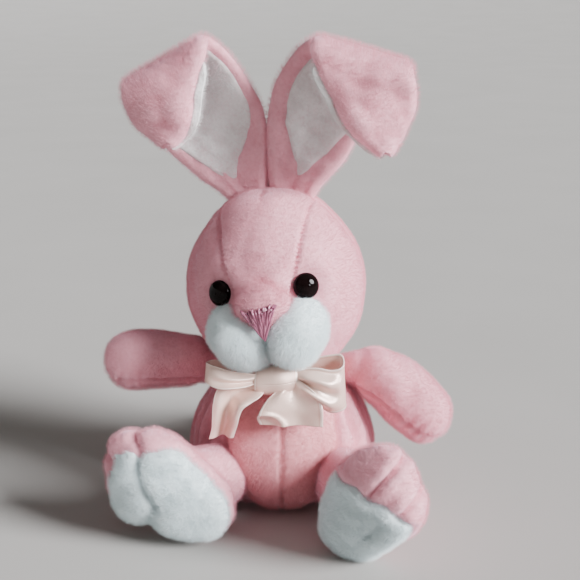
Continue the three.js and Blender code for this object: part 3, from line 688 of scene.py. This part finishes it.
def build_body():
    for s, (_, side) in SIDES.items():
        def front(z, r, u, side=side):
            return side * belly_angle(z, r) * u

        def back(z, r, u, side=side):
            start = belly_angle(z, r)
            return side * (start + (math.pi - start) * u)

        # The belly panels take the painted-shade copy of the pink plush; the back panels take the pink plush
        # itself.
        for kind, angle, nt, look, slot in (("front", front, 44, BELLY_SHADE_PINK, "salmon_plush"),
                                            ("back", back, 130, PINK, "pink_plush")):
            p, n, phi = body_surface(130, angle, nt)
            r = np.hypot(p[..., 0], p[..., 1])
            edge_phi = belly_angle(p[..., 2], r)
            belly_seam = np.abs(np.abs(phi) - edge_phi) * r
            centre = r * np.minimum(np.abs(phi), np.pi - np.abs(phi))
            d = np.minimum(belly_seam, centre)
            lift = -1.2 * bell(d, 1.2) + 0.5 * (1 - bell(d, 8)) - 0.3 - 1.6 * bell(belly_seam, 3.0)
            if kind == "front":
                lift += 1.6 * (1 - bell(belly_seam, 6))
            lift += 0.5 * lumps(p, 26, 80) + 0.15 * lumps(p, 8, 81)
            if kind == "back":
                turn = np.abs(phi) - edge_phi
                low = bell(p[..., 2] - 36, 14)
                lean = turn + 0.006 * (p[..., 2] - 36)
                lift += low * (-2.2 * bell(lean - 0.26, 0.06) + 1.3 * bell(lean - 0.40, 0.08)
                               - 1.8 * bell(lean - 0.55, 0.06) + 0.8 * bell(lean - 0.68, 0.08))
            p = p + n * (lift * smooth(p[..., 2] / 3))[..., None]
            made = add_mesh(f"body_{kind}_{s}_skin", p, grid_faces(130, nt), look)
            outward(made, np.array([0, 0, 25]))
            inside = ["body_fill", "pellet_bag"] if s + kind == "lback" else []
            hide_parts(f"body_{kind}_{s}", *inside)
            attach(made, "torso")
            pile(made, 1.5, 16000 if kind == "front" else 52000, 82 + int(side) + 4 * nt, nap=(0, 0, -0.4))
    a = np.linspace(0, 2 * np.pi, 64, endpoint=False)
    r = np.linspace(0.3, 23, 16)[:, None]
    p = np.stack([r * np.sin(a), -BODY_DEPTH * r * np.cos(a), 0.15 + 0.1 * np.sin(r * 1.3) + 0 * a], -1)
    faces = grid_faces(16, 64, wrap=True).tolist() + [list(range(64))]
    seat = add_mesh("body_seat_skin", p, faces, PINK)
    if normals(seat)[:, 2].sum() > 0:
        seat.data.flip_normals()
    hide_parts("body_seat")
    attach(seat, "torso")

    def shape(p, n):
        return p + n * (0.9 * lumps(p, 7, 90) + 0.5 * lumps(p, 3, 91))[:, None]

    at = mid("tail")
    tail = ball("tail_puff", at + (0, -1.5, 0), (12, 11.5, 12), shape, WHITE, 48, 64)
    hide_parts("tail")
    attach(tail, "torso")
    pile(tail, 3.0, 14000, 95, nap=(0, 0.2, -0.2), radius=0.05)


# ------------------------------------------------------------------ limbs
def remeshed(name, parts, voxel, rounds, look):
    """One closed soft skin round several overlapping solids, smoothed."""
    points, faces = [], []
    for p, f in parts:
        base = sum(len(q) for q in points)
        points.append(np.asarray(p).reshape(-1, 3))
        faces += [[i + base for i in face] for face in f]
    work = add_mesh(name + "_work", np.concatenate(points), faces, look)
    voxels = work.modifiers.new("voxels", "REMESH")
    voxels.mode = "VOXEL"
    voxels.voxel_size = voxel * MM
    ease = work.modifiers.new("ease", "SMOOTH")
    ease.factor = 0.5
    ease.iterations = rounds
    bpy.context.view_layer.update()
    made = bpy.data.meshes.new_from_object(work.evaluated_get(bpy.context.evaluated_depsgraph_get()))
    bpy.data.objects.remove(work)
    made.name = name
    out = bpy.data.objects.new(name, made)
    bpy.context.scene.collection.objects.link(out)
    made.materials.clear()
    made.materials.append(look)
    made.polygons.foreach_set("use_smooth", [True] * len(made.polygons))
    return out


def swept(path, radii, sides=40):
    """Closed soft tube along a curve through path, with radii at its points."""
    centre = spline(path, 60)
    r = np.maximum(spline(np.asarray(radii, float)[:, None], 60)[:, 0], 0.3)
    return tube(centre, r, sides)


def settle(obj, held, limit):
    """Blows up the piece's cloth, cut a little large, and tells how far each point moves in mm."""
    p = coords(obj)
    coarse = remeshed(obj.name + "_cloth", [(p, [list(f.vertices) for f in obj.data.polygons])], 3.6, 2, PINK)
    start = coords(coarse)
    group = coarse.vertex_groups.new(name="held")
    for i in np.nonzero(held(start))[0]:
        group.add([int(i)], 1.0, "REPLACE")
    cloth = coarse.modifiers.new("cloth", "CLOTH")
    rule = cloth.settings
    rule.quality = 6
    rule.mass = 0.15
    rule.tension_stiffness = rule.compression_stiffness = 10
    rule.shear_stiffness = 4
    rule.bending_stiffness = 0.3
    rule.use_pressure = True
    rule.uniform_pressure_force = 4
    rule.shrink_min = -0.10
    rule.vertex_group_mass = "held"
    rule.effector_weights.gravity = 0
    cloth.point_cache.frame_start, cloth.point_cache.frame_end = 1, 20
    scene = bpy.context.scene
    for step in range(1, 21):
        scene.frame_set(step)
    done = coarse.evaluated_get(bpy.context.evaluated_depsgraph_get())
    end = np.array([v.co for v in done.data.vertices]) * 1000
    bpy.data.objects.remove(coarse)
    scene.frame_set(1)
    move = end - start
    size = np.linalg.norm(move, axis=1, keepdims=True)
    move *= np.minimum(1, limit / np.maximum(size, 1e-6))
    tree = KDTree(len(start))
    for i, v in enumerate(start):
        tree.insert(Vector(v), i)
    tree.balance()
    out = np.empty_like(p)
    for i, v in enumerate(p):
        near = tree.find_n(Vector(v), 7)
        weight = np.array([1 / (0.8 + d) ** 2 for _, _, d in near])
        out[i] = (move[[k for _, k, _ in near]] * weight[:, None]).sum(0) / weight.sum()
    n = normals(obj)
    swell = (out * n).sum(1)
    return out - n * np.clip(swell, 0, np.mean(swell[swell > 0.2]))[:, None]


ARMS = {  # points along each arm from inside the body to its tip, with the radius there
    "r": ([(-23, 1, 53), (-31, 0, 58.5), (-41, -4, 63.5), (-53, -8, 66), (-65, -9, 66.2), (-72, -10, 65.5),
           (-78.5, -11, 64.5), (-81, -11, 64)], [5, 7.6, 10.6, 12.8, 13.6, 13.0, 9.2, 2]),
    "l": ([(23, 1, 54), (32, 0, 58), (43, -4, 57), (54, -8, 51.5), (63, -12, 44), (68.5, -14, 39),
           (72.5, -15, 35), (74.5, -15, 33)], [5, 8.2, 11.8, 13.8, 13.8, 13.2, 9.2, 2]),
}


def build_arm(s):
    name, side = SIDES[s]
    path, radii = ARMS[s]
    made = remeshed(f"arm_{s}_skin", [swept(path, radii)], 1.0, 6, PINK)
    root = np.array(path[2], float)
    moved = settle(made, lambda p: np.abs(p[:, 0]) < abs(root[0]) - 3, 1.6)
    set_coords(made, coords(made) + moved)
    p, n = coords(made), normals(made)
    line = spline(path, 120)
    nearest = np.array([np.argmin(((line - v) ** 2).sum(1)) for v in p])
    way = unit(np.gradient(line, axis=0))[nearest]
    spoke = p - line[nearest]
    under = np.array([0, -0.86, -0.51])
    under = unit(under - way * (way @ under)[:, None])
    turn = np.arccos(np.clip((unit(spoke + 1e-9) * under).sum(1), -1, 1))
    seam = turn * np.linalg.norm(spoke, axis=1)
    along = nearest / 119 * 70
    lift = -1.7 * bell(seam, 1.2) * smooth((along - 12) / 6)
    ripple = np.sin(along * 2 * np.pi / 6.5 + 1.4 * np.sin(seam * 0.3))
    lift += 0.45 * ripple * bell(seam - 2, 4.5) * smooth((along - 30) / 20)
    root = along - 14 - 3 * np.sin(turn * 1.3)
    lift += -0.9 * bell(root, 2.0) + 0.7 * bell(root - 6, 3)
    lift += 0.55 * lumps(p, 20, 100 + int(side)) + 0.2 * lumps(p, 8, 102)
    set_coords(made, p + n * lift[:, None])
    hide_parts(f"arm_skin_{s}", f"arm_fill_{s}")
    path = np.array(path, float)
    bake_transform(made)
    pile(made, 1.3, 40000, 104 + int(side), nap=(0.3 * side, 0, -0.3))


FEET = {  # middle of the foot, the way its sole faces, the way its toes point, length, width
    "r": ((-48, -59, 24.4), (-0.24, -0.97, 0.04), (-0.743, 0.195, 0.64), 0.95, 0.90),
    "l": ((36.3, -78.5, 26.1), (-0.52, -0.82, -0.24), (0.21, -0.38, 0.90), 1.02, 0.84),
}
SOLE_SEAMS = {  # height, rise towards the toes from where to where, the same towards the outer side
    "r": (2.6, 7.5, 5, 22, -4.0, -16, 16),
    "l": (2.2, 11.5, 9, 21, 3.2, 14, 21),
}
FOOT_FRONT, FOOT_BACK = 11.5, 14.5


def foot_pillow(length, width):
    """The foot in its own frame: toes along x, outer side along y, sole facing z."""
    outline = spline(FOOT_OUTLINE + FOOT_OUTLINE[:1], 121)[:-1] - (1.5, 1.5)
    outline *= (length, width)
    rise = np.linspace(-math.pi / 2 + 0.03, math.pi / 2 - 0.03, 36)[:, None, None]
    flat = outline[None] * np.cos(rise) ** 0.72
    height = np.where(rise < 0, FOOT_BACK, FOOT_FRONT) * np.sin(rise)
    p = np.concatenate([flat + (1.5, 1.5), height + 0 * flat[..., :1]], -1)
    faces = grid_faces(36, 120, wrap=True).tolist()
    faces += [list(range(120)), list(range(35 * 120, 36 * 120))[::-1]]
    return p.reshape(-1, 3), faces


def build_leg(s):
    name, side = SIDES[s]
    at, facing, toes = (np.array(v, float) for v in FEET[s][:3])
    n = unit(facing)
    a = unit(toes - n * (toes @ n))
    b = np.cross(n, a) * -side
    axes = np.stack([a, b, n])
    hip = np.array(JOINTS[f"{name}_hip"]["pos_m"]) * 1000
    inner = hip * (0.55, 0.5, 1)
    pillow, faces = foot_pillow(*FEET[s][3:])
    limb = swept([inner, hip * (0.85, 0.85, 1), hip + (at - hip) * 0.4 - n * 2, at - n * 6 - a * 3],
                 [11, 14, 14.5, 13])
    whole = remeshed(f"leg_{s}_work", [limb, (pillow @ axes + at, faces)], 0.9, 6, PINK)
    moved = settle(whole, lambda p: np.linalg.norm(p - inner, axis=1) < 22, 1.4)
    set_coords(whole, coords(whole) + moved)
    p, n = coords(whole), normals(whole)
    q = (p - at) @ axes.T
    low = q[:, 2] > -7
    lift = 0.5 * lumps(p, 13, 110) + 0.2 * lumps(p, 5, 111)
    for depth, width, line in FOOT_CREASES[s]:
        d = near_line(q[:, :2], line)
        lift += (-depth * bell(d, width) + 0.35 * depth * bell(d - 3.5 * width, 2 * width)) * low
    p = p + n * lift[:, None]
    p[:, 2] = np.where(p[:, 2] < 1.2, 0.35 + 0.85 * np.exp((p[:, 2] - 1.2) / 2.0), p[:, 2])
    set_coords(whole, p)
    split_foot(whole, s, at, axes, side, name)


def sole_level(q, s):
    """Height of the sole seam over the foot's middle plane."""
    height, rise, low, high, outer, near, far = SOLE_SEAMS[s]
    wave = 0.9 * np.sin(q[:, 1] * 0.45 + 1)
    toes = rise * smooth((q[:, 0] + wave - low) / (high - low))
    return height + toes + outer * smooth((q[:, 1] - near) / (far - near))


def split_foot(whole, s, at, axes, side, name):
    """Parts the foot's skin along the sole seam, then sinks the seam."""
    q = (coords(whole) - at) @ axes.T
    q[:, 2] -= sole_level(q, s)
    set_coords(whole, q)
    work = bmesh.new()
    work.from_mesh(whole.data)
    bpy.data.objects.remove(whole)
    geometry = work.verts[:] + work.edges[:] + work.faces[:]
    bmesh.ops.bisect_plane(work, geom=geometry, dist=1e-7, plane_co=(0, 0, 0), plane_no=(0, 0, 1))
    mesh = bpy.data.meshes.new("foot_work")
    work.to_mesh(mesh)
    work.free()
    holder = bpy.data.objects.new("foot_work", mesh)
    q = coords(holder)
    from_seam = q[:, 2].copy()
    radial = np.hypot(q[:, 0], q[:, 1])
    q[:, 2] += sole_level(q, s)
    centres = np.array([np.mean([from_seam[v] for v in f.vertices]) for f in mesh.polygons])
    middles = np.array([np.mean(q[list(f.vertices)], axis=0) for f in mesh.polygons])
    sole = (centres > 0) & (np.linalg.norm(middles, axis=1) < 45)
    set_coords(holder, q @ axes + at)
    p, n = coords(holder), normals(holder)
    away = np.abs(from_seam) + 99 * (radial < 10)
    p = p + n * (-1.2 * bell(away, 1.4) + 0.5 * bell(away - 4.5, 3))[:, None]
    p[:, 2] = np.maximum(p[:, 2], 0.3)
    faces = [list(f.vertices) for f in mesh.polygons]
    bpy.data.objects.remove(holder)
    for kind, chosen, look in (("sole", sole, WHITE), ("leg", ~sole, PINK)):
        picked = [faces[i] for i in np.nonzero(chosen)[0]]
        used = sorted({v for f in picked for v in f})
        place = {v: i for i, v in enumerate(used)}
        made = add_mesh(f"{kind}_{s}_skin", p[used], [[place[v] for v in f] for f in picked], look)
        if kind == "sole":
            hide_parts(f"sole_{s}", f"toe_thread_{s}_1", f"toe_thread_{s}_2")
            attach(made, f"{name}_leg")
            pile(made, 1.7, 26000, 114 + int(side), nap=(0, 0, 0.4), radius=0.05)
        else:
            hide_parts(f"leg_skin_{s}", f"leg_fill_{s}")
            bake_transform(made)
            pile(made, 1.3, 36000, 116 + int(side), nap=(0, 0, 0.3))


# ------------------------------------------------------------------ ribbon bow
KNOT = mid("bow_knot") + (0, -0.8, -0.5)


def ribbon_piece(name, edges, node, fold, thick=0.3):
    """A strip between two edge curves from the knot outwards; fold(u, v) bends it in depth."""
    ns, nt = 90, 34
    a, b = (spline(e, ns) for e in edges)
    u, v = np.linspace(0, 1, ns)[:, None], np.linspace(0, 1, nt)[None, :]
    p = a[:, None] * (1 - v[..., None]) + b[:, None] * v[..., None] + KNOT
    p[..., 1] += fold(u, v) + 0.2 * lumps(p, 8, 7)
    n = unit(np.cross(np.gradient(p, axis=0), np.gradient(p, axis=1)))
    half = thick / 2 * (1 + 0.9 * (bell(v, 0.035) + bell(v - 1, 0.035))) + 0 * u
    made = quilt(name, p, n, half, half, SATIN)
    put_uv(made, ns, nt)
    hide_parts(node)
    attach(made, "torso")
    return made


def put_uv(obj, ns, nt):
    uv = obj.data.uv_layers.new(name="UVMap")
    index = np.empty(len(obj.data.loops), np.int32)
    obj.data.loops.foreach_get("vertex_index", index)
    index %= ns * nt
    out = np.stack([(index // nt) / (ns - 1) * 2, (index % nt) / (nt - 1)], -1)
    uv.data.foreach_set("uv", out.astype(np.float32).ravel())


def curl(u, v):
    """The rolled corner at the end of the left tail."""
    return bell(np.hypot((1 - u) * 1.1, v * 0.9) - 0.34, 0.05)


def rays(u, v, k):
    """Folds that spread out from the knot."""
    return np.sin(v * k + 1) * smooth(u * 6) * (1 - smooth((u - 0.3) / 0.2))


def left_loop_fold(u, v):
    dent = bell(v - 0.45, 0.2) * smooth(u * 4) * (1 - smooth((u - 0.4) / 0.1))
    return 1.7 * rays(u, v, 13) - 1.3 * dent


def build_bow():
    ribbon_piece(
        "bow_tail_r_ribbon",
        ([(-6, -2, 4), (-14, -4, 3), (-22, -5, 1.6), (-26, -6, -1), (-27.7, -6.5, -7), (-28.3, -6.5, -14),
          (-28.6, -6, -19), (-30, -5.5, -24.3)],
         [(-4, -3, -1), (-6.8, -6, -3.6), (-11, -7.5, -6), (-14.4, -8.5, -8.3), (-16.0, -8.5, -12),
          (-16.8, -8, -15.5), (-17.8, -7, -19), (-19, -6.5, -23)]),
        "bow_tail_r",
        lambda u, v: smooth(u * 3) * (4.2 * bell(v - 0.52, 0.24) - 1.2 * bell(v - 0.85, 0.12))
        + 1.0 * np.sin(v * 9 + 2) * (1 - u) * smooth(u * 5))
    ribbon_piece(
        "bow_tail_l_ribbon",
        ([(3, -3, 1), (0, -5.5, -1.6), (-3.4, -7, -4.6), (-5.8, -8, -7.6), (-7.6, -8.5, -10.8),
          (-8.4, -8, -14), (-7.2, -8, -17)],
         [(7, -3.5, 5), (12.4, -6, 2.4), (16, -7.5, -0.3), (18.8, -8, -3), (20.3, -8, -7),
          (20.8, -8, -12), (20.8, -7.5, -17.6)]),
        "bow_tail_l",
        lambda u, v: smooth(u * 3) * (3.6 * bell(v - 0.62, 0.2) * (1 - 0.5 * u) - 1.1 * curl(u, v))
        + 1.8 * smooth((0.36 - np.hypot((1 - u) * 1.1, v * 0.9)) / 0.2)
        + 0.7 * np.sin(v * 14 + u * 4) * smooth(u * 4) * (1 - u))
    ribbon_piece(
        "bow_loop_l_ribbon",
        ([(6, -2.5, 5.5), (12, -5, 8.3), (18, -6.5, 9.3), (24, -7, 8.6), (28.5, -5.5, 9.5), (29.8, -2, 11.5),
          (28, 1.5, 13.4), (20, 3.5, 11.6), (12, 4, 9), (6, 2.5, 5)],
         [(6, -2.5, 0), (12, -5, -3), (18, -7, -7.5), (24, -7.5, -11.2), (29, -6, -10.6), (31, -2.5, -9.6),
          (29.5, 1.5, -8), (20, 3.5, -5), (12, 4, -2), (6, 2.5, 0)]),
        "bow_loop_l", left_loop_fold)
    ribbon_piece(
        "bow_loop_r_ribbon",
        ([(-6, -2.5, 5.5), (-13, -4, 6.2), (-20, -4.5, 7.4), (-26, -3.5, 9.2), (-29.8, -1, 9.8), (-30.6, 2, 9.5),
          (-27, 5, 9.4), (-18, 5, 7.5), (-6, 2.5, 4.5)],
         [(-6, -2.5, 2), (-13, -6.5, 1.2), (-20, -8.5, 1), (-26, -8, 1), (-30, -5.5, 2), (-31, -2, 3),
          (-28, 2.5, 3), (-18, 3.5, 2.5), (-6, 2.5, 1.5)]),
        "bow_loop_r", lambda u, v: 1.0 * rays(u, v, 9))

    ns, nt = 96, 60
    a, v = np.linspace(0, 2 * np.pi, ns)[:, None], np.linspace(-1, 1, nt)[None, :]
    pinch = 1 - 0.34 * np.abs(v) ** 2.4
    crease = 0.25 * np.sin(v * 5 + 1.2 * np.sin(a) + 0.6)
    x = v * 9.0 * (1 + 0.05 * np.cos(a))
    y = -np.cos(a) * (5.4 * pinch + crease) - 1.2
    z = np.sin(a) * (6.6 * pinch + crease * 0.6) + 0.7 * v + 2.2
    p = np.stack([x + 0 * a, y, z], -1) + KNOT
    n = unit(np.cross(np.gradient(p, axis=0), np.gradient(p, axis=1)))
    half = np.full(p.shape[:2], 0.2)
    knot = quilt("bow_knot_ribbon", p, n, half, half, SATIN)
    put_uv(knot, ns, nt)
    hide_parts("bow_knot")
    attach(knot, "torso")

    ns, nt = 140, 16
    a, v = np.linspace(0, 2 * np.pi, ns)[:, None], np.linspace(0, 1, nt)[None, :]
    r = 25.2 + 0.7 * np.sin(v * 9 + 0.5 * np.sin(3 * a))
    p = np.stack([-1.5 + r * np.sin(a), -1.5 - r * np.cos(a), 59.5 + 7.5 * v + 0 * a], -1)
    half = np.full(p.shape[:2], 0.2)
    collar = quilt("ribbon_collar_band", p, unit(p - (-1.5, -1.5, 63)), half, half, SATIN)
    put_uv(collar, ns, nt)
    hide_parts("ribbon_collar")
    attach(collar, "torso")


# ------------------------------------------------------------------ stage, light and camera
def build_stage():
    """A floor that is flat round the toy and rises far away, so that no horizon shows."""
    r = np.concatenate([[0.02, 1.0, 2.5], np.linspace(3, 12, 19)]) * 1000
    a = np.linspace(0, 2 * np.pi, 64, endpoint=False)[None, :]
    rise = 34 * np.maximum(r / 1000 - 2.5, 0) ** 2
    p = np.stack([r[:, None] * np.cos(a), r[:, None] * np.sin(a), rise[:, None] + 0 * a], -1)
    faces = grid_faces(len(r), 64, wrap=True).tolist() + [list(range(64))]
    paper = plain("floor_paper", (0.43, 0.42, 0.40), (0.41, 0.40, 0.38), 0.9, scale=8)
    floor = add_mesh("floor", p, faces, paper)
    outward(floor, np.array([0, 0, -9000]))
    world = bpy.data.worlds.new("studio")
    bpy.context.scene.world = world
    world.use_nodes = True
    world.node_tree.nodes["Background"].inputs["Color"].default_value = (1.0, 0.92, 0.85, 1)
    world.node_tree.nodes["Background"].inputs["Strength"].default_value = 0.07
    lamps = (
        ("window", (1.0, -0.46, 0.50), 0.42, 11.6, (0.97, 0.97, 1.0)),
        ("ceiling", (0.2, 0.0, 1.0), 1.2, 0.3, (0.97, 0.98, 1.0)),
        ("room", (-0.6, -0.75, 0.35), 1.2, 0.12, (1.0, 0.93, 0.86)),
    )
    for name, at, angle, power, colour in lamps:
        lamp = bpy.data.lights.new(name, "SUN")
        lamp.angle, lamp.energy, lamp.color = angle, power, colour
        made = bpy.data.objects.new(name, lamp)
        made.rotation_euler = Vector(at).to_track_quat("Z", "Y").to_euler()
        bpy.context.scene.collection.objects.link(made)


def build_camera():
    rise, distance = math.radians(17), 490 * MM
    target = Vector((3.7, 0, 97)) * MM
    lens = bpy.data.cameras.new("camera")
    lens.sensor_width = 36
    lens.lens = 64.9
    lens.clip_start = 0.01
    made = bpy.data.objects.new("camera", lens)
    back = Vector((0, -math.cos(rise), math.sin(rise)))
    made.location = target + back * distance
    made.rotation_mode = "QUATERNION"
    made.rotation_quaternion = (-back).to_track_quat("-Z", "Y")
    bpy.context.scene.collection.objects.link(made)
    bpy.context.scene.camera = made


build_head()
build_muzzle()
build_nose()
build_eyes()
build_body()
for which in SIDES:
    build_ear(which)
    build_arm(which)
    build_leg(which)
build_bow()
build_stage()
build_camera()
for job, more in PILES:
    grow_pile(*job, **more)
